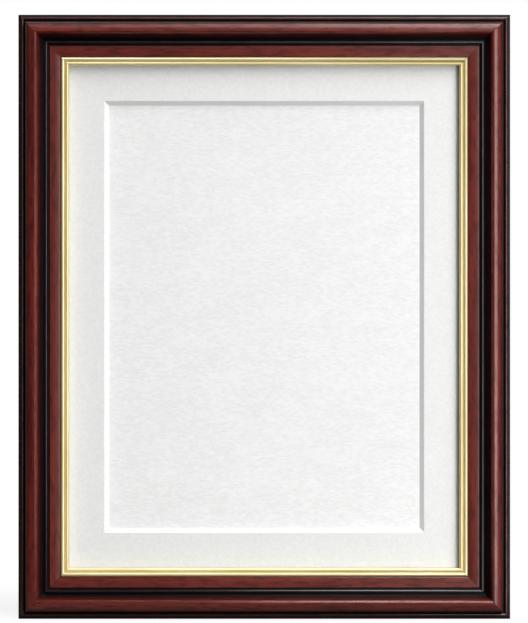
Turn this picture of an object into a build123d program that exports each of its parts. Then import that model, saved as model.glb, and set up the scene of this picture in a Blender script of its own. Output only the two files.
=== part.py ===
"""Certificate frame: mitred moulding with a gilt slip, a glazed mounted sheet and a turn-button back."""

import os
from math import radians, tan

from build123d import *

os.makedirs("parts", exist_ok=True)

# X runs across the frame, Y from the viewer to the wall and Z up.
# The origin is the middle notch of the hanger, on the face of the wall.

# Glazing, the sheet size that the frame is made for
glass_width = 279.4
glass_height = 355.6
glass_thickness = 2.0
sheet_clearance = 1.0

# Sheets behind the glass, from front to back
mount_thickness = 3.0
mount_border = 34.0
mount_overlap = 8.6
bevel_angle = 45.0
certificate_thickness = 0.3
board_thickness = 1.4
panel_thickness = 2.5

# Linen tape that hinges the mount to the board
tape_margin = 3.0
tape_inset = 20.0

# Moulding, the widths of its members from the outer edge inward
edge_band_width = 1.2
edge_bead_width = 3.0
groove_width = 0.9
roll_width = 8.3
roll_crest_place = 6.2
scoop_width = 4.0
inner_bead_width = 2.8
quirk_width = 1.1
flat_width = 7.1

# Moulding, how far its members rise or fall
lip_thickness = 3.5
flat_fall = 0.5
flat_swell = 0.15
quirk_depth = 1.0
inner_bead_rise = 1.4
scoop_hollow = 0.9
roll_rise = 7.2
roll_outer_fall = 3.4
roll_inner_fall = 2.1
shoulder_drop = 0.6
edge_bead_rise = 1.4

# Gilt slip, held behind the moulding's lip
rebate_lip = 2.3
tongue_thickness = 2.0
tongue_clearance = 0.2
slip_joint = 0.15
slip_rise = 2.2
slip_outer_bead_width = 2.9
slip_outer_bead_rise = 1.2
slip_quirk_width = 0.35
slip_quirk_depth = 0.4
slip_inner_bead_width = 2.5
slip_inner_bead_rise = 0.9
slip_fall = 0.6

# V-nails across the back of each mitre, and their places in from the outer edges
v_nail_wing = 4.5
v_nail_thickness = 0.5
v_nail_height = 7.0
v_nail_outer_place = 9.5
v_nail_inner_place = 20.0
v_nail_clearance = 0.05

# Turn buttons and their screws
button_setback = 8.0
button_reach = 17.5
button_radius = 5.0
button_tip_radius = 3.5
button_thickness = 1.0
button_edge_round = 0.25
button_rib_length = 8.5
button_rib_width = 2.4
button_rib_height = 0.5
button_rib_slope = 30.0
button_lift = 0.15
rail_button_spacing = 150.0
stile_button_spacing = 190.0
screw_radius = 1.4
screw_depth = 10.0
screw_point = 2.5
screw_tip_radius = 0.3
screw_head_radius = 2.8
screw_head_height = 1.5
screw_head_round = 0.9
screw_slot_length = 3.2
screw_slot_width = 0.8
screw_slot_depth = 0.9
screw_head_clearance = 0.1
pivot_clearance = 0.1
pilot_clearance = 0.05
pilot_spare_depth = 0.5

# Hanger, its nails and the bumpers that keep the frame off the wall
wall_gap = 3.0
hanger_drop = 14.0
hanger_length = 45.0
hanger_height = 9.0
hanger_thickness = 0.8
hanger_tab = 8.0
hanger_ramp = 3.0
notch_count = 7
notch_depth = 1.8
nail_radius = 0.9
nail_depth = 9.0
nail_point = 1.8
nail_tip_radius = 0.2
nail_head_radius = 1.9
nail_head_height = 0.6
nail_head_round = 0.4
bumper_radius = 5.0
bumper_round = 0.8
bumper_inset = 13.0
bumper_setback = 38.0

# Plan sizes, in from the outer edge of the moulding
edge_bead_end = edge_band_width + edge_bead_width
roll_start = edge_bead_end + groove_width
roll_crest = roll_start + roll_crest_place
roll_end = roll_start + roll_width
scoop_end = roll_end + scoop_width
inner_bead_end = scoop_end + inner_bead_width
flat_start = inner_bead_end + quirk_width
moulding_width = flat_start + flat_width
rebate_wall = moulding_width - rebate_lip
slip_start = moulding_width + slip_joint
slip_quirk_start = slip_start + slip_outer_bead_width
slip_inner_start = slip_quirk_start + slip_quirk_width
sight_edge = slip_inner_start + slip_inner_bead_width
frame_width = glass_width + 2 * sheet_clearance + 2 * rebate_wall
frame_height = glass_height + 2 * sheet_clearance + 2 * rebate_wall

# Levels, forward from the back of the moulding
board_level = panel_thickness
certificate_level = board_level + board_thickness
mount_level = certificate_level + certificate_thickness
glass_level = mount_level + mount_thickness
slip_level = glass_level + glass_thickness
rebate_depth = slip_level + tongue_thickness
slip_bead_level = rebate_depth + slip_rise
slip_quirk_level = slip_bead_level - slip_quirk_depth
slip_edge_level = slip_quirk_level - slip_fall
slip_inner_crest_level = (slip_quirk_level + slip_edge_level) / 2 + slip_inner_bead_rise
flat_inner_level = rebate_depth + lip_thickness
flat_outer_level = flat_inner_level + flat_fall
flat_middle_level = (flat_inner_level + flat_outer_level) / 2 + flat_swell
inner_bead_level = flat_outer_level - quirk_depth
roll_crest_level = inner_bead_level + roll_rise
roll_inner_level = roll_crest_level - roll_inner_fall
roll_outer_level = roll_crest_level - roll_outer_fall
shoulder_level = inner_bead_level - shoulder_drop

# Sheet sizes that follow from the glass and the mount
certificate_margin = mount_border - mount_overlap
certificate_width = glass_width - 2 * certificate_margin
certificate_height = glass_height - 2 * certificate_margin
bevel_foot_width = glass_width - 2 * mount_border
bevel_foot_height = glass_height - 2 * mount_border
tape_length = glass_width - 2 * tape_inset
tape_width = certificate_margin - 2 * tape_margin
tape_height = glass_height / 2 - certificate_margin / 2

# Middle of the frame on the moulding's back, and the plane of that back, which faces the viewer
centre = Vector(0, -wall_gap, hanger_drop - frame_height / 2)
to_wall = Vector(0, 1, 0)
back = Plane(centre, x_dir=(1, 0, 0), z_dir=-to_wall)

# The four sides, each turned from the top one about the axis through the frame
side_turns = {"top": 0, "right": 90, "bottom": 180, "left": 270}


def outward(side):
    """The direction from the middle of the frame to a side."""
    return Vector(0, 0, 1).rotate(Axis.Y, side_turns[side])


def along(side):
    """The direction along a side, clockwise as the viewer sees it."""
    return Vector(1, 0, 0).rotate(Axis.Y, side_turns[side])


def half_span(side):
    """How far a side's outer edge lies from the middle of the frame."""
    return frame_height / 2 if side in ("top", "bottom") else frame_width / 2


def half_length(side):
    """Half the length of a side along its outer edge."""
    return frame_width / 2 if side in ("top", "bottom") else frame_height / 2


def back_point(side, inward, shift):
    """The point on the back that lies inward from a side's outer edge and along from its middle."""
    return centre + outward(side) * (half_span(side) - inward) + along(side) * shift


def section_plane(side):
    """The plane across the middle of a side: x runs inward from the edge and y forward from the back."""
    return Plane(back_point(side, 0, 0), x_dir=-outward(side), z_dir=outward(side).cross(to_wall))


def mitre_planes(side):
    """The two planes that cut a side's ends, each facing away from the side."""
    corners = [(end, back_point(side, 0, end * half_length(side))) for end in (-1, 1)]
    return [Plane(corner, z_dir=along(side) * end - outward(side)) for end, corner in corners]


# Places of the turn buttons: the side that each is on and which half of it, along the side
button_places = {
    "top_left": ("top", -1),
    "top_right": ("top", 1),
    "right_upper": ("right", -1),
    "right_lower": ("right", 1),
    "bottom_right": ("bottom", -1),
    "bottom_left": ("bottom", 1),
    "left_lower": ("left", -1),
    "left_upper": ("left", 1),
}
button_spacings = {
    "top": rail_button_spacing,
    "bottom": rail_button_spacing,
    "left": stile_button_spacing,
    "right": stile_button_spacing,
}


def button_seat(place):
    """The plane on the moulding's back at a turn button's pivot: x runs to the panel and z to the wall."""
    side, half = button_places[place]
    pivot = back_point(side, rebate_wall - button_setback, half * button_spacings[side] / 2)
    return Plane(pivot, x_dir=-outward(side), z_dir=to_wall)


button_seats = [button_seat(place) for place in button_places]

# Hanger places: its lower edge, and the seats of its two nails in the middle of its end tabs
hanger_half = hanger_length / 2
hanger_tab_start = hanger_half - hanger_tab
hanger_raised_half = hanger_tab_start - hanger_ramp
hanger_middle = hanger_height / 2 - notch_depth
nail_place = hanger_half - hanger_tab / 2
nail_seats = [
    Plane((-nail_place, -wall_gap, hanger_middle), x_dir=(1, 0, 0), z_dir=to_wall),
    Plane((nail_place, -wall_gap, hanger_middle), x_dir=(1, 0, 0), z_dir=to_wall),
]

# V-nail places: the corners in terms of the frame's middle, and how far in from both edges each apex lies
v_nail_places = []
for across in (-1, 1):
    for up in (-1, 1):
        for place in (v_nail_outer_place, v_nail_inner_place):
            v_nail_places.append((across, up, place))


def moulding_length(side):
    """One side's moulding: mitred, slotted for its V-nails and drilled for its screws and nails."""
    slot_thickness = v_nail_thickness + 2 * v_nail_clearance
    slot_wing = v_nail_wing + v_nail_thickness + 2 * v_nail_clearance
    slot_depth = v_nail_height + v_nail_clearance
    with BuildPart() as length:
        with BuildSketch(section_plane(side)):
            with BuildLine():
                Polyline(
                    (moulding_width, flat_inner_level),
                    (moulding_width, rebate_depth),
                    (rebate_wall, rebate_depth),
                    (rebate_wall, 0),
                    (0, 0),
                    (0, shoulder_level),
                    (edge_band_width, shoulder_level),
                )
                ThreePointArc(
                    (edge_band_width, shoulder_level),
                    (edge_band_width + edge_bead_width / 2, shoulder_level + edge_bead_rise),
                    (edge_bead_end, shoulder_level),
                )
                Polyline(
                    (edge_bead_end, shoulder_level),
                    (roll_start, shoulder_level),
                    (roll_start, roll_outer_level),
                )
                TangentArc(
                    (roll_crest, roll_crest_level),
                    (roll_start, roll_outer_level),
                    tangent=(-1, 0),
                )
                TangentArc(
                    (roll_crest, roll_crest_level),
                    (roll_end, roll_inner_level),
                    tangent=(1, 0),
                )
                SagittaArc((roll_end, roll_inner_level), (scoop_end, inner_bead_level), -scoop_hollow)
                ThreePointArc(
                    (scoop_end, inner_bead_level),
                    (scoop_end + inner_bead_width / 2, inner_bead_level + inner_bead_rise),
                    (inner_bead_end, inner_bead_level),
                )
                Polyline(
                    (inner_bead_end, inner_bead_level),
                    (flat_start, inner_bead_level),
                    (flat_start, flat_outer_level),
                )
                ThreePointArc(
                    (flat_start, flat_outer_level),
                    (flat_start + flat_width / 2, flat_middle_level),
                    (moulding_width, flat_inner_level),
                )
            make_face()
        extrude(amount=half_length(side), both=True)
        for mitre in mitre_planes(side):
            split(bisect_by=mitre, keep=Keep.BOTTOM)
        with BuildSketch(back):
            for across, up, place in v_nail_places:
                apex_x = across * (frame_width / 2 - place)
                apex_y = up * (frame_height / 2 - place)
                with Locations((apex_x + across * v_nail_wing / 2, apex_y)):
                    Rectangle(slot_wing, slot_thickness)
                with Locations((apex_x, apex_y + up * v_nail_wing / 2)):
                    Rectangle(slot_thickness, slot_wing)
        extrude(amount=slot_depth, mode=Mode.SUBTRACT)
        with BuildSketch(*button_seats):
            Circle(screw_radius + pilot_clearance)
        extrude(amount=-(screw_depth + pilot_spare_depth), mode=Mode.SUBTRACT)
        with BuildSketch(*nail_seats):
            Circle(nail_radius + pilot_clearance)
        extrude(amount=-(nail_depth + pilot_spare_depth), mode=Mode.SUBTRACT)
    return length.part


# Moulding: two rails and two stiles
moulding_names = {"top": "top_rail", "bottom": "bottom_rail", "left": "left_stile", "right": "right_stile"}
for side, name in moulding_names.items():
    moulding = moulding_length(side)
    moulding.label = name
    export_step(moulding, f"parts/{name}.step")


def slip_length(side):
    """One side's gilt slip: a tongue behind the moulding's lip and two beads that show, mitred."""
    tongue_start = rebate_wall + tongue_clearance
    with BuildPart() as length:
        with BuildSketch(section_plane(side)):
            with BuildLine():
                Polyline(
                    (slip_start, slip_bead_level),
                    (slip_start, rebate_depth),
                    (tongue_start, rebate_depth),
                    (tongue_start, slip_level),
                    (sight_edge, slip_level),
                    (sight_edge, slip_edge_level),
                )
                ThreePointArc(
                    (sight_edge, slip_edge_level),
                    (sight_edge - slip_inner_bead_width / 2, slip_inner_crest_level),
                    (slip_inner_start, slip_quirk_level),
                )
                Line((slip_inner_start, slip_quirk_level), (slip_quirk_start, slip_bead_level))
                ThreePointArc(
                    (slip_quirk_start, slip_bead_level),
                    (slip_start + slip_outer_bead_width / 2, slip_bead_level + slip_outer_bead_rise),
                    (slip_start, slip_bead_level),
                )
            make_face()
        extrude(amount=half_length(side), both=True)
        for mitre in mitre_planes(side):
            split(bisect_by=mitre, keep=Keep.BOTTOM)
    return length.part


# Gilt slip: four lengths
for side in side_turns:
    slip = slip_length(side)
    slip.label = f"{side}_slip"
    export_step(slip, f"parts/{side}_slip.step")

# V-nails, pressed in flush with the back across each mitre
with BuildPart() as corner_v_nails:
    with BuildSketch(back):
        for across, up, place in v_nail_places:
            apex_x = across * (frame_width / 2 - place)
            apex_y = up * (frame_height / 2 - place)
            with Locations((apex_x + across * v_nail_wing / 2, apex_y)):
                Rectangle(v_nail_wing + v_nail_thickness, v_nail_thickness)
            with Locations((apex_x, apex_y + up * v_nail_wing / 2)):
                Rectangle(v_nail_thickness, v_nail_wing + v_nail_thickness)
    extrude(amount=v_nail_height)
corner_v_nails.part.label = "corner_v_nails"
export_step(corner_v_nails.part, "parts/corner_v_nails.step")

# Glazing, bedded on the back of the slip
with BuildPart() as glazing:
    with BuildSketch(back.offset(glass_level)):
        Rectangle(glass_width, glass_height)
    extrude(amount=glass_thickness)
glazing.part.label = "glazing"
export_step(glazing.part, "parts/glazing.step")

# Window mount, with a bevel that narrows from the front to its foot at the back
bevel_run = mount_thickness / tan(radians(bevel_angle))
with BuildPart() as window_mount:
    with BuildSketch(back.offset(mount_level)):
        Rectangle(glass_width, glass_height)
    extrude(amount=mount_thickness)
    with BuildSketch(back.offset(mount_level)):
        Rectangle(bevel_foot_width, bevel_foot_height)
    with BuildSketch(back.offset(glass_level)):
        Rectangle(bevel_foot_width + 2 * bevel_run, bevel_foot_height + 2 * bevel_run)
    loft(mode=Mode.SUBTRACT)
window_mount.part.label = "window_mount"
export_step(window_mount.part, "parts/window_mount.step")

# Certificate, covered at its edges by the mount
with BuildPart() as certificate:
    with BuildSketch(back.offset(certificate_level)):
        Rectangle(certificate_width, certificate_height)
    extrude(amount=certificate_thickness)
certificate.part.label = "certificate"
export_step(certificate.part, "parts/certificate.step")

# Hinge tape, folded double between the mount and the board above the certificate
with BuildPart() as hinge_tape:
    with BuildSketch(back.offset(certificate_level)):
        with Locations((0, tape_height)):
            Rectangle(tape_length, tape_width)
    extrude(amount=certificate_thickness)
hinge_tape.part.label = "hinge_tape"
export_step(hinge_tape.part, "parts/hinge_tape.step")

# Backing board under the certificate
with BuildPart() as backing_board:
    with BuildSketch(back.offset(board_level)):
        Rectangle(glass_width, glass_height)
    extrude(amount=board_thickness)
backing_board.part.label = "backing_board"
export_step(backing_board.part, "parts/backing_board.step")

# Back panel, flush with the moulding's back
with BuildPart() as back_panel:
    with BuildSketch(back):
        Rectangle(glass_width, glass_height)
    extrude(amount=panel_thickness)
back_panel.part.label = "back_panel"
export_step(back_panel.part, "parts/back_panel.step")


def turn_button(place):
    """One turn button: a pressed plate, wide at its pivot and narrow at its tip, with a stiffening rib."""
    seat = button_seat(place)
    tip_place = button_reach - button_tip_radius
    rib_place = tip_place - button_rib_length / 2 + button_rib_width / 2
    with BuildPart() as plate:
        with BuildSketch(seat.offset(button_lift)):
            Circle(button_radius)
            with Locations((tip_place, 0)):
                Circle(button_tip_radius)
            make_hull()
        extrude(amount=button_thickness)
        fillet(plate.faces().sort_by(Axis.Y)[-1].edges(), radius=button_edge_round)
        with BuildSketch(seat.offset(button_lift + button_thickness)):
            with Locations((rib_place, 0)):
                SlotOverall(button_rib_length, button_rib_width)
        extrude(amount=button_rib_height, taper=button_rib_slope)
        with BuildSketch(seat.offset(button_lift)):
            Circle(screw_radius + pivot_clearance)
        extrude(amount=button_thickness, mode=Mode.SUBTRACT)
    return plate.part


# Turn buttons, two on each side, closed over the edge of the back panel
for place in button_places:
    button = turn_button(place)
    button.label = f"turn_button_{place}"
    export_step(button, f"parts/turn_button_{place}.step")

# One pan-head screw, upright on the plane of the moulding's back
screw_seat_level = button_lift + button_thickness + screw_head_clearance
with BuildPart() as screw:
    with BuildSketch(Plane.XY.offset(screw_point - screw_depth)):
        Circle(screw_radius)
    extrude(amount=screw_depth - screw_point + screw_seat_level)
    with BuildSketch(Plane.XY.offset(screw_point - screw_depth)):
        Circle(screw_radius)
    with BuildSketch(Plane.XY.offset(-screw_depth)):
        Circle(screw_tip_radius)
    loft()
    with BuildSketch(Plane.XY.offset(screw_seat_level)):
        Circle(screw_head_radius)
    extrude(amount=screw_head_height)
    fillet(screw.faces().sort_by(Axis.Z)[-1].edges(), radius=screw_head_round)
    with BuildSketch(Plane.XY.offset(screw_seat_level + screw_head_height)):
        Rectangle(screw_slot_length, screw_slot_width)
        Rectangle(screw_slot_width, screw_slot_length)
    extrude(amount=-screw_slot_depth, mode=Mode.SUBTRACT)

# Turn button screws, one in each pivot
with BuildPart() as turn_button_screws:
    with Locations(*button_seats):
        add(screw.part)
turn_button_screws.part.label = "turn_button_screws"
export_step(turn_button_screws.part, "parts/turn_button_screws.step")

# Sawtooth hanger: two tabs on the top rail and a raised middle with notches along its lower edge
notch_pitch = 2 * hanger_raised_half / notch_count
with BuildPart() as sawtooth_hanger:
    with BuildSketch(Plane((0, -wall_gap, -notch_depth), x_dir=(1, 0, 0), z_dir=(0, 0, 1))):
        with BuildLine():
            Polyline(
                (-hanger_half, 0),
                (-hanger_tab_start, 0),
                (-hanger_raised_half, wall_gap - hanger_thickness),
                (hanger_raised_half, wall_gap - hanger_thickness),
                (hanger_tab_start, 0),
                (hanger_half, 0),
                (hanger_half, hanger_thickness),
                (hanger_tab_start, hanger_thickness),
                (hanger_raised_half, wall_gap),
                (-hanger_raised_half, wall_gap),
                (-hanger_tab_start, hanger_thickness),
                (-hanger_half, hanger_thickness),
                close=True,
            )
        make_face()
    extrude(amount=hanger_height)
    with BuildSketch(Plane.XZ):
        for notch in range(notch_count):
            middle = (notch - (notch_count - 1) / 2) * notch_pitch
            with BuildLine():
                Polyline(
                    (middle - notch_pitch / 2, -notch_depth),
                    (middle, 0),
                    (middle + notch_pitch / 2, -notch_depth),
                    close=True,
                )
            make_face()
    extrude(amount=wall_gap, mode=Mode.SUBTRACT)
    with BuildSketch(*nail_seats):
        Circle(nail_radius + pilot_clearance)
    extrude(amount=hanger_thickness, mode=Mode.SUBTRACT)
sawtooth_hanger.part.label = "sawtooth_hanger"
export_step(sawtooth_hanger.part, "parts/sawtooth_hanger.step")

# One round-head nail, upright on the plane of the moulding's back
with BuildPart() as nail:
    with BuildSketch(Plane.XY.offset(nail_point - nail_depth)):
        Circle(nail_radius)
    extrude(amount=nail_depth - nail_point + hanger_thickness)
    with BuildSketch(Plane.XY.offset(nail_point - nail_depth)):
        Circle(nail_radius)
    with BuildSketch(Plane.XY.offset(-nail_depth)):
        Circle(nail_tip_radius)
    loft()
    with BuildSketch(Plane.XY.offset(hanger_thickness)):
        Circle(nail_head_radius)
    extrude(amount=nail_head_height)
    fillet(nail.faces().sort_by(Axis.Z)[-1].edges(), radius=nail_head_round)

# Hanger nails, one in each tab
with BuildPart() as hanger_nails:
    with Locations(*nail_seats):
        add(nail.part)
hanger_nails.part.label = "hanger_nails"
export_step(hanger_nails.part, "parts/hanger_nails.step")

# Wall bumpers, stuck on the bottom rail near its ends
bumper_place = half_length("bottom") - bumper_setback
bumper_seats = [
    Plane(back_point("bottom", bumper_inset, -bumper_place), x_dir=(1, 0, 0), z_dir=to_wall),
    Plane(back_point("bottom", bumper_inset, bumper_place), x_dir=(1, 0, 0), z_dir=to_wall),
]
with BuildPart() as wall_bumpers:
    with BuildSketch(*bumper_seats):
        Circle(bumper_radius)
    extrude(amount=wall_gap)
    fillet(wall_bumpers.faces().filter_by(Axis.Y).group_by(Axis.Y)[-1].edges(), radius=bumper_round)
wall_bumpers.part.label = "wall_bumpers"
export_step(wall_bumpers.part, "parts/wall_bumpers.step")
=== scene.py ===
"""Looks of the certificate frame: lacquered moulding, gilt slip, glazed blank sheet and turn-button back."""

from math import atan2, cos, hypot, pi, radians, sin

import bmesh
import bpy
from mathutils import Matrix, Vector


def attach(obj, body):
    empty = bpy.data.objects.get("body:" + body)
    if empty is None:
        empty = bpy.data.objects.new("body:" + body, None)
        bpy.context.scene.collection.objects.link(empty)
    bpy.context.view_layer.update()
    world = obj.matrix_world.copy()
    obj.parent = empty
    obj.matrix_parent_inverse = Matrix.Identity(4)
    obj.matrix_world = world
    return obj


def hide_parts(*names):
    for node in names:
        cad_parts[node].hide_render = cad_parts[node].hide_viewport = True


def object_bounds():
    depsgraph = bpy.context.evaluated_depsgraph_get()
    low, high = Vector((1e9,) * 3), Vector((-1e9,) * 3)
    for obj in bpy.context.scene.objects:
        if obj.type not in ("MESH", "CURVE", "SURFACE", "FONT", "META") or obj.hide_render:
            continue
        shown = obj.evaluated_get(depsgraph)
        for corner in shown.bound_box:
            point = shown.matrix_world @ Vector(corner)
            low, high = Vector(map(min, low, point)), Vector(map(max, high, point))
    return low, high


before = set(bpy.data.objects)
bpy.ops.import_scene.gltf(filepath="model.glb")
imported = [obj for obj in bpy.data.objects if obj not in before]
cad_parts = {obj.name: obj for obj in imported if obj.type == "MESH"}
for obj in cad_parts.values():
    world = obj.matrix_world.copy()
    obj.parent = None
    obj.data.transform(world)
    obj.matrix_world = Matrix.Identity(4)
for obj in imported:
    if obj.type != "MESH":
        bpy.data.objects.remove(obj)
cad_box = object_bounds()

# Moulding: four lengths of hardwood run to one section, mitred, glued and pinned at the corners.
# Its show faces are stained mahogany with black lines and lacquered satin, and its back is raw wood.
mm = 0.001
frame_half_width = 166.8
frame_half_height = 204.9
frame_middle = -190.9
moulding_back = -3.0
bead_segments = 14
roll_segments = 30
sharp_turn = radians(28)
corner_ease = 0.14
ease_share = 0.45
ease_steps = 4
mitre_ease = 0.09
mitre_ease_length = 0.16
smooth_turn = radians(35)
side_turns = {"top": 0, "right": 90, "bottom": 180, "left": 270}
moulding_nodes = {"top": "top_rail", "right": "right_stile", "bottom": "bottom_rail", "left": "left_stile"}


def arc(start, through, end, segments):
    """Points after the start of an arc, through a middle point, to its end."""
    (ax, ay), (bx, by), (cx, cy) = start, through, end
    a, b, c = ax * ax + ay * ay, bx * bx + by * by, cx * cx + cy * cy
    scale = 2 * (ax * (by - cy) + bx * (cy - ay) + cx * (ay - by))
    middle_x = (a * (by - cy) + b * (cy - ay) + c * (ay - by)) / scale
    middle_y = (a * (cx - bx) + b * (ax - cx) + c * (bx - ax)) / scale
    radius = hypot(ax - middle_x, ay - middle_y)
    first = atan2(ay - middle_y, ax - middle_x)
    last = atan2(cy - middle_y, cx - middle_x)
    sweep = (last - first) % (2 * pi) if scale > 0 else -((first - last) % (2 * pi))
    turns = [first + sweep * step / segments for step in range(1, segments + 1)]
    return [(middle_x + radius * cos(turn), middle_y + radius * sin(turn)) for turn in turns]


def eased(outline, ease):
    """A closed outline with a small curve at each of its sharp corners."""
    points = [Vector(point) for point in outline]
    made = []
    for place, corner in enumerate(points):
        before, after = points[place - 1], points[(place + 1) % len(points)]
        if (corner - before).angle(after - corner) < sharp_turn:
            made.append(corner)
            continue
        first = corner + (before - corner).normalized() * min(ease, ease_share * (before - corner).length)
        last = corner + (after - corner).normalized() * min(ease, ease_share * (after - corner).length)
        for step in range(ease_steps + 1):
            share = step / ease_steps
            made.append(first.lerp(corner, share).lerp(corner.lerp(last, share), share))
    return made


def section_piece(name, outline):
    """An object that holds a section's closed outline, with each point's facing direction."""
    points = eased(outline, corner_ease)
    count = len(points)
    mesh = bpy.data.meshes.new(name)
    mesh.from_pydata(
        [(level * mm, inward * mm, 0) for inward, level in points],
        [(place, (place + 1) % count) for place in range(count)],
        [],
    )
    facing = mesh.attributes.new("facing", "FLOAT_VECTOR", "POINT")
    for place in range(count):
        run = (points[(place + 1) % count] - points[place - 1]).normalized()
        facing.data[place].vector = (-run.x, run.y, 0)
    piece = bpy.data.objects.new(name, mesh)
    bpy.context.scene.collection.objects.link(piece)
    return piece


class Field:
    """A socket whose value varies over a piece: Python's operators on it add Math nodes to its tree."""

    def __init__(self, tree, socket=None):
        self.tree = tree
        self.socket = socket

    def join(self, node, inputs):
        """Sets or links a node's sockets."""
        for key, value in inputs.items():
            if isinstance(value, Field):
                self.tree.links.new(value.socket, node.inputs[key])
            else:
                node.inputs[key].default_value = value

    def node(self, kind, inputs=(), output=0, **settings):
        """A new node of any type: its settings, then its sockets, and the output to go on with."""
        made = self.tree.nodes.new(kind)
        for name, setting in settings.items():
            setattr(made, name, setting)
        self.join(made, dict(inputs))
        return Field(self.tree, made.outputs[output])

    def math(self, operation, *operands):
        return self.node("ShaderNodeMath", dict(enumerate(operands)), operation=operation)

    def __add__(self, other):
        return self.math("ADD", self, other)

    def __radd__(self, other):
        return self.math("ADD", other, self)

    def __sub__(self, other):
        return self.math("SUBTRACT", self, other)

    def __rsub__(self, other):
        return self.math("SUBTRACT", other, self)

    def __mul__(self, other):
        return self.math("MULTIPLY", self, other)

    def __rmul__(self, other):
        return self.math("MULTIPLY", other, self)

    def __truediv__(self, other):
        return self.math("DIVIDE", self, other)

    def __abs__(self):
        return self.math("ABSOLUTE", self)

    def __lt__(self, other):
        return self.math("LESS_THAN", self, other)

    def __gt__(self, other):
        return self.math("GREATER_THAN", self, other)

    def parts(self):
        """The three numbers of a vector."""
        split = self.node("ShaderNodeSeparateXYZ", {0: self}).socket.node
        return [Field(self.tree, socket) for socket in split.outputs]

    def point(self, x, y, z):
        """A vector from three numbers."""
        return self.node("ShaderNodeCombineXYZ", {0: x, 1: y, 2: z})

    def stretched(self, x, y, z):
        """A place divided by a pattern's length along each direction."""
        return self.node("ShaderNodeVectorMath", {0: self, 1: (1 / x, 1 / y, 1 / z)}, operation="MULTIPLY")

    def noise(self, detail=2.0, roughness=0.5):
        """Soft random tones, from 0 to 1, at a place."""
        sockets = {"Vector": self, "Scale": 1.0, "Detail": detail, "Roughness": roughness}
        return self.node("ShaderNodeTexNoise", sockets, "Fac")

    def rise(self, low, high):
        """0 below low and 1 above high, with a smooth change between."""
        sockets = {"Value": self, "From Min": low, "From Max": high}
        return self.node("ShaderNodeMapRange", sockets, "Result", interpolation_type="SMOOTHSTEP")

    def ramp(self, stops):
        """Tones set at distances in millimetres, the first at 0, with an even change between them."""
        width = stops[-1][0]
        made = self.node("ShaderNodeValToRGB", {0: self / width})
        elements = made.socket.node.color_ramp.elements
        elements.remove(elements[1])
        elements[0].color = (*[stops[0][1]] * 3, 1)
        for distance, tone in stops[1:]:
            elements.new(distance / width).color = (*[tone] * 3, 1)
        return made

    def blend(self, ground, over):
        """A colour that goes from one to another as this number goes from 0 to 1."""
        ends = [c if isinstance(c, Field) else (*c, 1) for c in (ground, over)]
        return self.node("ShaderNodeMix", {0: self, 6: ends[0], 7: ends[1]}, 2, data_type="RGBA")

    def bump(self, depth):
        """A normal from this height, where 1 stands for a depth in millimetres."""
        return self.node("ShaderNodeBump", {"Height": self, "Distance": depth * mm}, "Normal")


# One length of moulding or slip: its section swept along a side of the frame, cut to the mitres there,
# with the cut edges eased a little, and turned to its own side.
length_tree = bpy.data.node_groups.new("mitred_length", "GeometryNodeTree")
length_tree.is_modifier = True
length_tree.interface.new_socket("Length", in_out="OUTPUT", socket_type="NodeSocketGeometry")
length_tree.interface.new_socket("Section", in_out="INPUT", socket_type="NodeSocketGeometry")
length_inputs = {}
for name in ("Half Length", "Half Span", "Turn", "Mitre Ease", "Mitre Ease Length", "Back", "Middle Height"):
    socket = length_tree.interface.new_socket(name, in_out="INPUT", socket_type="NodeSocketFloat")
    length_inputs[name] = socket.identifier
socket = length_tree.interface.new_socket("Finish", in_out="INPUT", socket_type="NodeSocketMaterial")
length_inputs["Finish"] = socket.identifier
bench = Field(length_tree)
given_sockets = bench.node("NodeGroupInput").socket.node.outputs
given = {socket.name: Field(length_tree, socket) for socket in given_sockets if socket.name}
section = bench.node("GeometryNodeMeshToCurve", {"Mesh": given["Section"]})
run = bench.node("GeometryNodeCurvePrimitiveLine", {"Start": (-1, 0, 0), "End": (1, 0, 0)})
run = bench.node("GeometryNodeResampleCurve", {"Curve": run, "Count": 4})
sweep = {"Curve": run, "Profile Curve": section, "Fill Caps": True}
swept = bench.node("GeometryNodeCurveToMesh", sweep)
share, forward, drop = bench.node("GeometryNodeInputPosition").parts()
facing = bench.node("GeometryNodeInputNamedAttribute", {"Name": "facing"}, data_type="FLOAT_VECTOR")
facing_level, facing_inward = facing.parts()[:2]
end = abs(share) > 0.5
forward = forward - end * given["Mitre Ease"] * facing_level
drop = drop - end * given["Mitre Ease"] * facing_inward
half = given["Half Length"] + drop - (1 - end) * given["Mitre Ease Length"]
cut_place = bench.point(share.math("SIGN", share) * half, forward, drop + given["Half Span"])
cut = bench.node("GeometryNodeSetPosition", {"Geometry": swept, "Position": cut_place})
cut = bench.node("GeometryNodeRemoveAttribute", {"Geometry": cut, "Name": "facing"})
turned = {
    "Geometry": cut,
    "Rotation": bench.point(0.0, given["Turn"], 0.0),
    "Translation": bench.point(0.0, given["Back"], given["Middle Height"]),
}
placed = bench.node("GeometryNodeTransform", turned)
realized = bench.node("GeometryNodeRealizeInstances", {"Geometry": placed})
finished = bench.node("GeometryNodeSetMaterial", {"Geometry": realized, "Material": given["Finish"]})
bench.join(length_tree.nodes.new("NodeGroupOutput"), {0: finished})


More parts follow.
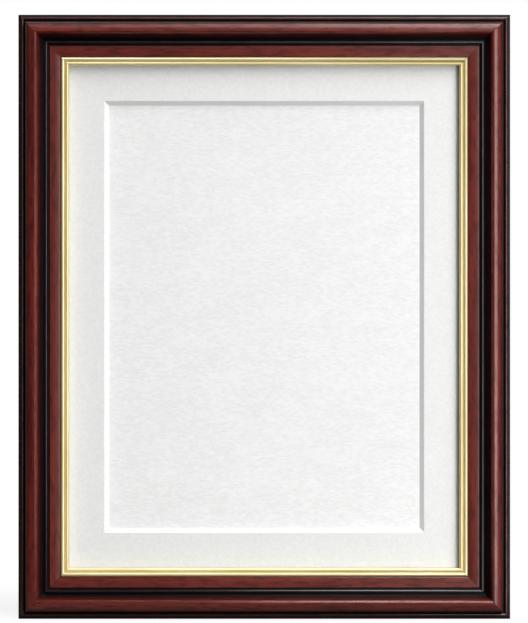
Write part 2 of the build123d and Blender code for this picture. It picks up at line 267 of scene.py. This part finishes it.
def mitred_length(name, outline, side, finish):
    """One side's length of a section, as a plain mesh."""
    piece = section_piece(name, outline)
    upright = side in ("left", "right")
    sizes = {
        "Half Length": (frame_half_height if upright else frame_half_width) * mm,
        "Half Span": (frame_half_width if upright else frame_half_height) * mm,
        "Turn": radians(side_turns[side]),
        "Mitre Ease": mitre_ease * mm,
        "Mitre Ease Length": mitre_ease_length * mm,
        "Back": moulding_back * mm,
        "Middle Height": frame_middle * mm,
        "Finish": finish,
    }
    modifier = piece.modifiers.new("mitred_length", "NODES")
    modifier.node_group = length_tree
    for size, value in sizes.items():
        modifier[length_inputs[size]] = value
    piece.data = bpy.data.meshes.new_from_object(piece.evaluated_get(bpy.context.evaluated_depsgraph_get()))
    piece.modifiers.clear()
    shape = bmesh.new()
    shape.from_mesh(piece.data)
    bmesh.ops.recalc_face_normals(shape, faces=shape.faces)
    shape.to_mesh(piece.data)
    shape.free()
    piece.data.shade_smooth()
    piece.data.set_sharp_from_angle(angle=smooth_turn)
    return piece


def new_finish(name):
    """A new material, its shader, and the place on the piece in millimetres from the frame's middle."""
    finish = bpy.data.materials.new(name)
    finish.use_nodes = True
    ground = Field(finish.node_tree)
    place = ground.node("ShaderNodeTexCoord", output="Object")
    place = place.node("ShaderNodeVectorMath", {0: place, 1: (1 / mm,) * 3}, operation="MULTIPLY")
    middle = (0, moulding_back, frame_middle)
    place = place.node("ShaderNodeVectorMath", {0: place, 1: middle}, operation="SUBTRACT")
    return finish, finish.node_tree.nodes["Principled BSDF"], place


# Each length is cut from another place in the board, so its grain starts elsewhere.
upright_grain = 900
next_length_grain = 370


def along_sides(place):
    """The place as run along the grain of its side, depth in from the outer edge and height off the back."""
    x, y, z = place.parts()
    across = frame_half_width - abs(x)
    down = frame_half_height - abs(z)
    upright = across < down
    inward = across.math("MINIMUM", across, down)
    end = upright * (x > 0) + (1 - upright) * (z > 0)
    run = upright * (z + upright_grain) + (1 - upright) * x + next_length_grain * end
    return run, inward, 0 - y


mahogany_moulding, shader, place = new_finish("mahogany_moulding")
run, inward, level = along_sides(place)
grain = place.point(run, inward, level)
ribbon = grain.stretched(110, 4.2, 4.2).noise(3, 0.55)
streak = grain.stretched(38, 0.55, 0.55).noise(4, 0.6)
pore = grain.stretched(5.5, 0.15, 0.15).noise(1).rise(0.64, 0.74)
peel = place.stretched(1.7, 1.7, 1.7).noise(1)
figure = ribbon.rise(0.3, 0.7).blend((0.095, 0.009, 0.0055), (0.17, 0.019, 0.0105))
figure = (streak.rise(0.35, 0.75) * 0.55).blend(figure, (0.18, 0.029, 0.019))
fleck = grain.stretched(11, 2.4, 2.4).noise(4, 0.62).rise(0.46, 0.64)
figure = (fleck * 0.7).blend(figure, (0.06, 0.007, 0.005))
figure = (pore * 0.6).blend(figure, (0.022, 0.005, 0.004))
wander = (grain.stretched(24, 30, 30).noise(2) - 0.5) * 0.35
stain_stops = [
    (0.0, 0.0), (1.0, 0.0), (1.4, 0.24), (3.7, 0.24), (4.1, 0.0), (5.1, 0.0), (5.8, 0.25), (7.0, 1.0),
    (13.1, 1.0), (13.9, 0.5), (14.7, 0.18), (15.6, 0.05), (16.6, 0.0), (17.6, 0.0), (18.4, 0.07),
    (19.6, 0.07), (20.3, 0.0), (21.1, 0.0), (21.6, 1.0),
]
stain = (inward + wander).ramp(stain_stops)
lacquered = stain.blend((0.003, 0.0024, 0.0036), figure)
growth = grain.stretched(160, 1.3, 3.0).noise(3, 0.6)
raw_wood = growth.rise(0.3, 0.7).blend((0.36, 0.225, 0.115), (0.56, 0.395, 0.23))
raw_wood = (streak.rise(0.45, 0.8) * 0.35).blend(raw_wood, (0.3, 0.18, 0.09))
raw_wood = (pore * 0.5).blend(raw_wood, (0.16, 0.085, 0.04))
rebate_raw_from = 25.9
rebate_raw_below = 11.3
overspray = 1 - (inward + (place.stretched(7, 7, 7).noise(4, 0.7) - 0.5) * 4).rise(0.3, 1.9)
raw = (1 - level.rise(0.1, 0.5)) * (1 - overspray * 0.9)
raw = raw.math("MAXIMUM", raw, (inward > rebate_raw_from) * (level < rebate_raw_below))
coat_stops = [
    (0.0, 0.0), (0.1, 0.3), (1.2, 0.3), (1.6, 1.0), (3.8, 1.0), (4.2, 0.15), (5.1, 0.15), (5.5, 1.0),
    (13.0, 1.0), (14.2, 0.4), (15.5, 0.2), (17.2, 0.2), (17.7, 1.0), (19.9, 1.0), (20.3, 0.15),
    (21.2, 0.15), (21.5, 1.0),
]
coat = inward.ramp(coat_stops)
outer_side = 1 - inward.rise(0.01, 0.1)
polish = 0.36 + 0.08 * streak + 0.05 * peel + 0.24 * outer_side
relief = streak * 0.35 + peel * 0.45 - pore * 0.5 - fleck * 0.6
place.join(shader, {
    "Base Color": raw.blend(lacquered, raw_wood),
    "Roughness": polish + raw * 0.32,
    "Specular IOR Level": 0.12,
    "Coat Weight": coat * (1 - raw) * (1 - 0.3 * fleck),
    "Coat Roughness": 0.24,
    "Normal": (relief + raw * (growth + streak) * 2).bump(0.015),
})

edge_bead_start = (1.2, 13.6)
edge_bead_end = (4.2, 13.6)
roll_start = (5.1, 18.0)
roll_crest = (11.3, 21.4)
roll_end = (13.4, 19.3)
scoop_end = (17.4, 14.2)
inner_bead_end = (20.2, 14.2)
flat_start = (21.3, 15.2)
flat_middle = 14.95
flat_swell = 0.15
flat_end = (28.4, 14.7)
rebate_corners = [(28.4, 11.2), (26.1, 11.2), (26.1, 0.03)]
outer_corners = [(0.0, 0.03), (0.0, 13.6)]
moulding_outline = [flat_end, *rebate_corners, *outer_corners, edge_bead_start]
moulding_outline += arc(edge_bead_start, (2.7, 15.0), edge_bead_end, bead_segments)
moulding_outline += [(5.1, 13.6), roll_start]
moulding_outline += arc(roll_start, (7.58, 20.3896), roll_crest, roll_segments)
moulding_outline += arc(roll_crest, (12.785, 20.785), roll_end, roll_segments)
moulding_outline += arc(roll_end, (14.692, 16.195), scoop_end, bead_segments)
moulding_outline += arc(scoop_end, (18.8, 15.6), inner_bead_end, bead_segments)
moulding_outline += [(21.3, 14.2), flat_start]
moulding_outline += arc(flat_start, (24.85, flat_middle + flat_swell), flat_end, bead_segments)[:-1]
for side, node in moulding_nodes.items():
    length = mitred_length(f"{side}_moulding", moulding_outline, side, mahogany_moulding)
    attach(length, "frame")
    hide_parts(node)

# Gilt slip: four thin mitred lengths of wood with two beads, laid in pale gold foil.
# A tongue on each is held between the moulding's lip and the glass.
slip_quirk = 31.6
crest_highlight_from = 14.3
crest_highlight_through = 14.75
gilt_slip, shader, place = new_finish("gilt_slip")
run, inward, level = along_sides(place)
leaf = place.point(run, inward, level)
cloud = leaf.stretched(60, 6, 6).noise(2)
brush = leaf.stretched(30, 0.12, 0.12).noise(2)
# Paler gold along the top of the outer bead is a painted highlight.
crest_highlight_and_rub = (level + (leaf.stretched(9, 2, 2).noise(3) - 0.5) * 0.5).rise(crest_highlight_from, crest_highlight_through)
gold = cloud.rise(0.3, 0.7).blend((0.84, 0.71, 0.36), (0.94, 0.83, 0.49))
gold = (brush.rise(0.4, 0.8) * 0.12).blend(gold, (0.72, 0.58, 0.28))
gold = (crest_highlight_and_rub * 0.3).blend(gold, (0.97, 0.91, 0.7))
# A darker line in the quirk between the beads is painted shade.
quirk_painted_shade = 1 - abs(inward - slip_quirk).rise(0.15, 0.6)
gold = (quirk_painted_shade * 0.5).blend(gold, (0.46, 0.34, 0.12))
place.join(shader, {
    "Base Color": gold,
    "Metallic": 0.6,
    "Roughness": 0.3 + 0.14 * cloud + 0.06 * brush,
    "Normal": brush.bump(0.0015),
})
sight_bead_start = (34.3, 12.4)
sight_bead_end = (31.8, 13.0)
outer_bead_start = (31.45, 13.4)
outer_bead_end = (28.55, 13.4)
slip_outline = [outer_bead_end, (28.55, 11.2), (26.3, 11.2), (26.3, 9.2), (34.3, 9.2), sight_bead_start]
slip_outline += arc(sight_bead_start, (33.05, 13.6), sight_bead_end, bead_segments)
slip_outline += [outer_bead_start]
slip_outline += arc(outer_bead_start, (30.0, 14.6), outer_bead_end, bead_segments)[:-1]
for side in side_turns:
    length = mitred_length(f"{side}_gilt_slip", slip_outline, side, gilt_slip)
    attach(length, "frame")
    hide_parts(f"{side}_slip")

# V-nails: folded strips of bright steel, two pressed into the back of each mitre with a machine.
# Only their edges show, flush with the raw wood.
v_nail_steel, shader, place = new_finish("v_nail_steel")
tarnish = place.stretched(0.8, 0.8, 0.8).noise(4, 0.6)
place.join(shader, {
    "Base Color": tarnish.rise(0.35, 0.7).blend((0.46, 0.46, 0.48), (0.3, 0.28, 0.27)),
    "Metallic": 1.0,
    "Roughness": 0.3 + 0.3 * tarnish,
})


def dress(node, finish):
    """Gives a piece of the frame its finish."""
    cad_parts[node].data.materials[0] = finish


dress("corner_v_nails", v_nail_steel)

# Glazing: a sheet of 2 mm float glass, bedded against the back of the slip.
# It is clear and coated against glare, with a faint shine at a slant.
glare_cut = 0.05
glazing = bpy.data.materials.new("glazing")
glazing.use_nodes = True
sheet = Field(glazing.node_tree)
outer_face = 1 - Field(sheet.tree, sheet.node("ShaderNodeNewGeometry").socket.node.outputs["Backfacing"])
fresnel = sheet.node("ShaderNodeFresnel", {"IOR": 1.5}) - glare_cut
fresnel = fresnel.math("MAXIMUM", fresnel, 0.0) * outer_face
clear = sheet.node("ShaderNodeBsdfTransparent", {"Color": (0.996, 0.998, 0.997, 1)})
shine = sheet.node("ShaderNodeBsdfGlossy", {"Color": (1, 1, 1, 1), "Roughness": 0.02})
glass = sheet.node("ShaderNodeMixShader", {0: fresnel, 1: clear, 2: shine})
sheet.join(glazing.node_tree.nodes["Material Output"], {"Surface": glass})
dress("glazing", glazing)

# Window mount: thick white-cored board with an off-white paper face, cut with a bevel round its window.
# It keeps the glass off the sheet and is hinged to the backing board along its top.
window_half_width = 108.7
window_half_height = 146.8
mount_board, shader, place = new_finish("mount_board")
x, _, z = place.parts()
beside = abs(x) - window_half_width
window = beside.math("MAXIMUM", beside, abs(z) - window_half_height)
core = 1 - window.rise(-0.06, 0.02)
fleck = place.stretched(0.45, 0.45, 0.45).noise(3, 0.6)
felt = place.stretched(1.6, 1.6, 1.5).noise(4, 0.65)
face = (fleck * 0.4 + felt * 0.6).rise(0.34, 0.66).blend((0.755, 0.755, 0.75), (0.835, 0.835, 0.83))
place.join(shader, {
    "Base Color": core.blend(face, (0.84, 0.84, 0.835)),
    "Roughness": 0.88 + 0.08 * fleck,
    "Normal": (fleck * 0.6 + felt * (1 - core)).bump(0.07),
})
dress("window_mount", mount_board)

# Certificate: one blank sheet of heavy laid paper, held flat behind the window.
# Its surface is faintly ribbed and clouded across the sheet.
certificate_paper, shader, place = new_finish("certificate_paper")
laid = place.stretched(3.6, 3, 1.4).noise(3, 0.65)
cloud = place.stretched(24, 8, 13).noise(3, 0.55)
fibre = place.stretched(0.6, 0.3, 0.25).noise(2)
sheet_tone = (laid * 0.65 + cloud * 0.2 + fibre * 0.15).rise(0.34, 0.66)
place.join(shader, {
    "Base Color": sheet_tone.blend((0.79, 0.79, 0.785), (0.88, 0.88, 0.875)),
    "Roughness": 0.85 + 0.1 * fibre,
    "Normal": (laid + cloud * 0.6 + fibre * 0.2).bump(0.12),
})
dress("certificate", certificate_paper)

# Hinge tape: gummed linen tape folded between the mount and the backing board.
# It is out of sight once the frame is closed.
linen_tape, shader, place = new_finish("linen_tape")
warp = place.stretched(0.32, 1, 40).noise(1)
weft = place.stretched(40, 1, 0.32).noise(1)
place.join(shader, {
    "Base Color": (warp * 0.5 + weft * 0.5).rise(0.35, 0.65).blend((0.6, 0.57, 0.48), (0.76, 0.74, 0.66)),
    "Roughness": 0.9,
    "Normal": (warp + weft).bump(0.06),
})
dress("hinge_tape", linen_tape)

# Backing board: plain card that the sheet lies on, the size of the glass.
# It is cut from grey-buff board with short fibres in it.
backing_card, shader, place = new_finish("backing_card")
pulp = place.stretched(1.1, 1.1, 1.1).noise(5, 0.65)
place.join(shader, {
    "Base Color": pulp.rise(0.3, 0.7).blend((0.52, 0.47, 0.39), (0.68, 0.64, 0.56)),
    "Roughness": 0.92,
    "Normal": pulp.bump(0.05),
})
dress("backing_board", backing_card)

# Back panel: pressed hardboard that closes the rebate, brown with a smooth, faintly mottled face.
# The turn buttons leave rub marks on it where their tips swing.
pivot_inset = 18.1
rail_pivot = (75.0, frame_half_height - pivot_inset)
stile_pivot = (frame_half_width - pivot_inset, 95.0)
tip_path = 13.5
hardboard, shader, place = new_finish("hardboard")
x, _, z = place.parts()
pressed = place.stretched(16, 16, 16).noise(4, 0.6)
rubs = []
for pivot_across, pivot_up in (rail_pivot, stile_pivot):
    off_across = abs(x) - pivot_across
    off_up = abs(z) - pivot_up
    off = x.math("SQRT", off_across * off_across + off_up * off_up)
    rubs.append(1 - abs(off - tip_path).rise(0.8, 3.4))
# On the panel these are lighter rub marks where the button tips swing.
crest_highlight_and_rub = (rubs[0] + rubs[1]) * place.stretched(2.5, 2.5, 2.5).noise(4, 0.7).rise(0.4, 0.65)
fibre_one = place.stretched(3.2, 0.4, 0.35).noise(3, 0.6)
fibre_two = place.stretched(0.35, 0.4, 3.2).noise(3, 0.6)
speck = place.stretched(0.7, 0.7, 0.7).noise(2).rise(0.66, 0.76)
board = pressed.rise(0.25, 0.75).blend((0.185, 0.098, 0.047), (0.235, 0.13, 0.066))
board = (fibre_one.rise(0.5, 0.8) * 0.35).blend(board, (0.34, 0.21, 0.12))
board = (fibre_two.rise(0.5, 0.8) * 0.3).blend(board, (0.09, 0.043, 0.02))
board = (speck * 0.6).blend(board, (0.06, 0.03, 0.015))
board = (crest_highlight_and_rub * 0.45).blend(board, (0.42, 0.29, 0.19))
place.join(shader, {
    "Base Color": board,
    "Roughness": 0.45 + 0.25 * pressed + 0.1 * fibre_one + 0.1 * crest_highlight_and_rub,
    "Normal": (fibre_one + fibre_two + pressed).bump(0.03),
})
dress("back_panel", hardboard)

# Turn buttons: small plates stamped from zinc-plated steel, wide at the pivot and ribbed at the tip.
# Each turns on its screw, over the panel to hold it or clear of it to let it out.
plated_steel, shader, place = new_finish("plated_steel")
spangle = place.stretched(2.2, 2.2, 2.2).noise(4, 0.6)
scratch = place.stretched(0.18, 1, 5).noise(2)
zinc = spangle.rise(0.3, 0.7).blend((0.5, 0.51, 0.52), (0.66, 0.67, 0.68))
place.join(shader, {
    "Base Color": (scratch.rise(0.6, 0.8) * 0.4).blend(zinc, (0.78, 0.78, 0.78)),
    "Metallic": 1.0,
    "Roughness": 0.27 + 0.2 * spangle + 0.08 * scratch,
    "Normal": (spangle + scratch * 0.4).bump(0.012),
})
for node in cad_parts:
    if node.startswith("turn_button"):
        dress(node, plated_steel)

# Hanger: a toothed strip of brass-plated steel, nailed to the middle of the top rail.
# Any of its notches sits on the nail in the wall.
brassed_steel, shader, place = new_finish("brassed_steel")
dull = place.stretched(1.6, 1.6, 1.6).noise(4, 0.62)
rolled = place.stretched(9, 1, 0.16).noise(2)
brass = dull.rise(0.3, 0.7).blend((0.52, 0.35, 0.12), (0.72, 0.53, 0.23))
place.join(shader, {
    "Base Color": (rolled.rise(0.55, 0.8) * 0.35).blend(brass, (0.82, 0.66, 0.36)),
    "Metallic": 1.0,
    "Roughness": 0.26 + 0.22 * dull + 0.06 * rolled,
    "Normal": (dull + rolled * 0.5).bump(0.01),
})
dress("sawtooth_hanger", brassed_steel)
dress("hanger_nails", brassed_steel)

# Wall bumpers: round pads of black rubber, stuck to the bottom rail to keep the frame upright on the wall.
# Their faces are matt, with a little dust.
bumper_rubber, shader, place = new_finish("bumper_rubber")
dust = place.stretched(0.9, 0.9, 0.9).noise(4, 0.7)
place.join(shader, {
    "Base Color": dust.rise(0.45, 0.8).blend((0.018, 0.018, 0.019), (0.07, 0.068, 0.064)),
    "Roughness": 0.6 + 0.25 * dust,
    "Normal": dust.bump(0.03),
})
dress("wall_bumpers", bumper_rubber)

# Studio: a pale floor under the frame's bottom edge and a white surround, with no wall behind.
# Soft lamps light it from above and from the right, high and level, and a weak one from behind.
floor_level = cad_box[0].z - 0.0002
floor_radius = 0.5
floor_reach = 0.14
floor_sides = 64
floor_mesh = bpy.data.meshes.new("floor")
rim = [2 * pi * step / floor_sides for step in range(floor_sides)]
floor_mesh.from_pydata(
    [(floor_radius * cos(turn), floor_radius * (1 + sin(turn)) - floor_reach, floor_level) for turn in rim],
    [],
    [tuple(range(floor_sides))],
)
floor = bpy.data.objects.new("floor", floor_mesh)
bpy.context.scene.collection.objects.link(floor)


def ray_kind(field, kind):
    """1 for a ray of one kind, and 0 for the rest."""
    return Field(field.tree, field.node("ShaderNodeLightPath").socket.node.outputs[kind])


floor_paint = bpy.data.materials.new("floor_paint")
floor_paint.use_nodes = True
ground = Field(floor_paint.node_tree)
matt = ground.node("ShaderNodeBsdfDiffuse", {"Color": (0.86, 0.86, 0.86, 1)})
white = ground.node("ShaderNodeEmission", {"Color": (1, 1, 1, 1), "Strength": 1.0})
from_middle = ground.node("ShaderNodeTexCoord", output="Object")
middle = (0, floor_radius - floor_reach, floor_level)
from_middle = from_middle.node("ShaderNodeVectorMath", {0: from_middle, 1: middle}, operation="SUBTRACT")
from_middle = from_middle.node("ShaderNodeVectorMath", {0: from_middle}, "Value", operation="LENGTH")
bright = 0.7 + 0.3 * from_middle.rise(0.3, 0.49)
shown = ground.node("ShaderNodeMixShader", {0: bright, 1: matt, 2: white})
dim = ground.node("ShaderNodeBsdfDiffuse", {"Color": (0.2, 0.2, 0.2, 1)})
paint = ground.node("ShaderNodeMixShader", {0: ray_kind(ground, "Is Camera Ray"), 1: dim, 2: shown})
ground.join(floor_paint.node_tree.nodes["Material Output"], {"Surface": paint})
floor_mesh.materials.append(floor_paint)

surround = bpy.data.worlds.new("surround")
surround.use_nodes = True
bpy.context.scene.world = surround
air = Field(surround.node_tree)
direction = air.node("ShaderNodeTexCoord", output="Generated")
toward_back = direction.parts()[1].rise(0.0, 0.5)
backdrop = toward_back.blend((0.02, 0.02, 0.021), (0.45, 0.45, 0.45))
camera_ray = ray_kind(air, "Is Camera Ray")
backdrop = camera_ray.blend(backdrop, (1, 1, 1))
backdrop = air.node("ShaderNodeBackground", {"Color": backdrop, "Strength": 1.0})
soft = air.node("ShaderNodeBackground", {
    "Color": toward_back.blend((0.06, 0.06, 0.06), (0.45, 0.45, 0.45)),
    "Strength": 1.0,
})
seen = camera_ray.math("MAXIMUM", camera_ray, ray_kind(air, "Is Glossy Ray"))
both = air.node("ShaderNodeMixShader", {0: seen, 1: soft, 2: backdrop})
air.join(surround.node_tree.nodes["World Output"], {"Surface": both})

# Each lamp's offset from the frame, width and height are in metres, and its power in watts.
frame_centre = Vector((0, -0.016, frame_middle * mm))
lamps = {
    "high_lamp": ((0.9, -1.2, 3.9), 1.6, 1.6, 60.0),
    "front_lamp": ((1.8, -3.1, 3.4), 3.4, 3.4, 178.0),
    "right_lamp": ((1.5, -2.9, 0.2), 2.2, 2.2, 32.0),
    "side_lamp": ((0.4, -0.6, -0.05), 0.12, 0.9, 2.0),
    "back_lamp": ((-0.45, 0.7, 0.65), 1.2, 1.2, 9.0),
}
for name, (offset, width, height, power) in lamps.items():
    light = bpy.data.lights.new(name, "AREA")
    light.shape = "RECTANGLE"
    light.size = width
    light.size_y = height
    light.energy = power
    lamp = bpy.data.objects.new(name, light)
    lamp.location = frame_centre + Vector(offset)
    lamp.rotation_euler = (-Vector(offset)).to_track_quat("-Z", "Y").to_euler()
    bpy.context.scene.collection.objects.link(lamp)

# Camera: level and square on, with a long lens, a little above the frame's middle.
# A pixel of its picture stands for about 0.68 mm at the front of the moulding's outer edge.
pixel = 0.6784 * mm
picture_height = 623
camera_distance = 2.5
camera_left = 0.3
camera_rise = 5.3
edge_front = 0.0166
camera_height = frame_middle * mm + camera_rise * pixel
lens = bpy.data.cameras.new("camera")
lens.sensor_width = 36
lens.lens = lens.sensor_width * camera_distance / (picture_height * pixel)
camera = bpy.data.objects.new("camera", lens)
camera.location = (-camera_left * pixel, -edge_front - camera_distance, camera_height)
camera.rotation_euler = (radians(90), 0, 0)
bpy.context.scene.collection.objects.link(camera)
bpy.context.scene.camera = camera
bpy.context.scene.view_settings.view_transform = "Standard"
